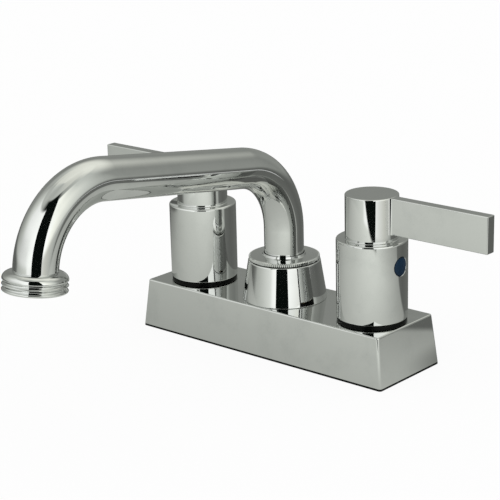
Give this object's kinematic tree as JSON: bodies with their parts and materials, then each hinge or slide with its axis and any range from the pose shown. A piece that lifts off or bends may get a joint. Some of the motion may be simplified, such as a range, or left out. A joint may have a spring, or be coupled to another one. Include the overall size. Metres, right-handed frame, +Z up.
{
  "type": "utility sink faucet",
  "caption": "Centreset utility sink faucet with flat lever handles on a sloped base and a swivelling bent-tube spout that ends in a hose thread.",
  "frame": {"origin": "centre of the base's underside, on the deck that the faucet is mounted on, midway between the inlets", "axes": "+X towards the cold (right) handle, -Y towards the user and along the spout at rest, +Z up"},
  "size_m": [0.225, 0.1877, 0.1636],
  "materials": {
    "chrome_plate": "polished chrome plating",
    "cast_brass": "machined brass",
    "copper_tube": "drawn copper",
    "plated_steel": "zinc plated",
    "black_rubber": "matte rubber",
    "white_ceramic": "lapped",
    "black_plastic": "moulded",
    "white_plastic": "moulded",
    "blue_index": "glossy",
    "red_index": "glossy"
  },
  "bodies": {
    "base": {"cold_inlet_shank": "cast_brass", "cold_valve_body": "cast_brass", "cold_mounting_washer": "plated_steel", "cold_mounting_nut": "black_plastic", "cold_cover_nut": "cast_brass", "cold_seat_seal": "black_rubber", "cold_fixed_disc": "white_ceramic", "cold_cartridge_bonnet": "cast_brass", "cold_bonnet_seal": "black_rubber", "cold_handle_ring": "black_rubber", "hot_inlet_shank": "cast_brass", "hot_valve_body": "cast_brass", "hot_mounting_washer": "plated_steel", "hot_mounting_nut": "black_plastic", "hot_cover_nut": "cast_brass", "hot_seat_seal": "black_rubber", "hot_fixed_disc": "white_ceramic", "hot_cartridge_bonnet": "cast_brass", "hot_bonnet_seal": "black_rubber", "hot_handle_ring": "black_rubber", "cold_crossover_tube": "copper_tube", "hot_crossover_tube": "copper_tube", "deck_gasket": "black_rubber", "base_cover": "chrome_plate", "spout_body": "cast_brass", "spout_seals": "black_rubber", "spout_bell": "chrome_plate", "bell_washer": "black_rubber", "spout_nut": "chrome_plate", "swivel_washer": "white_plastic"},
    "cold_handle_group": {"cold_moving_disc": "white_ceramic", "cold_cartridge_stem": "cast_brass", "cold_stem_seal": "black_rubber", "cold_stem_clip": "plated_steel", "cold_handle": "chrome_plate", "cold_lever": "chrome_plate", "cold_index_button": "blue_index", "cold_set_screw": "plated_steel"},
    "hot_handle_group": {"hot_moving_disc": "white_ceramic", "hot_cartridge_stem": "cast_brass", "hot_stem_seal": "black_rubber", "hot_stem_clip": "plated_steel", "hot_handle": "chrome_plate", "hot_lever": "chrome_plate", "hot_index_button": "red_index", "hot_set_screw": "plated_steel"},
    "spout": {"swivel_collar": "cast_brass", "spout_tube": "chrome_plate", "hose_collar": "chrome_plate"}
  },
  "joints": [
    {"name": "cold_turn", "type": "hinge", "parent": "base", "child": "cold_handle_group", "pos_m": [0.0508, 0, 0.05], "axis": [0, 0, 1], "range_deg": [-90, 0]},
    {"name": "hot_turn", "type": "hinge", "parent": "base", "child": "hot_handle_group", "pos_m": [-0.0508, 0, 0.05], "axis": [0, 0, 1], "range_deg": [0, 90]},
    {"name": "spout_swivel", "type": "hinge", "parent": "base", "child": "spout", "pos_m": [0, 0, 0.05], "axis": [0, 0, 1], "continuous": true}
  ]
}
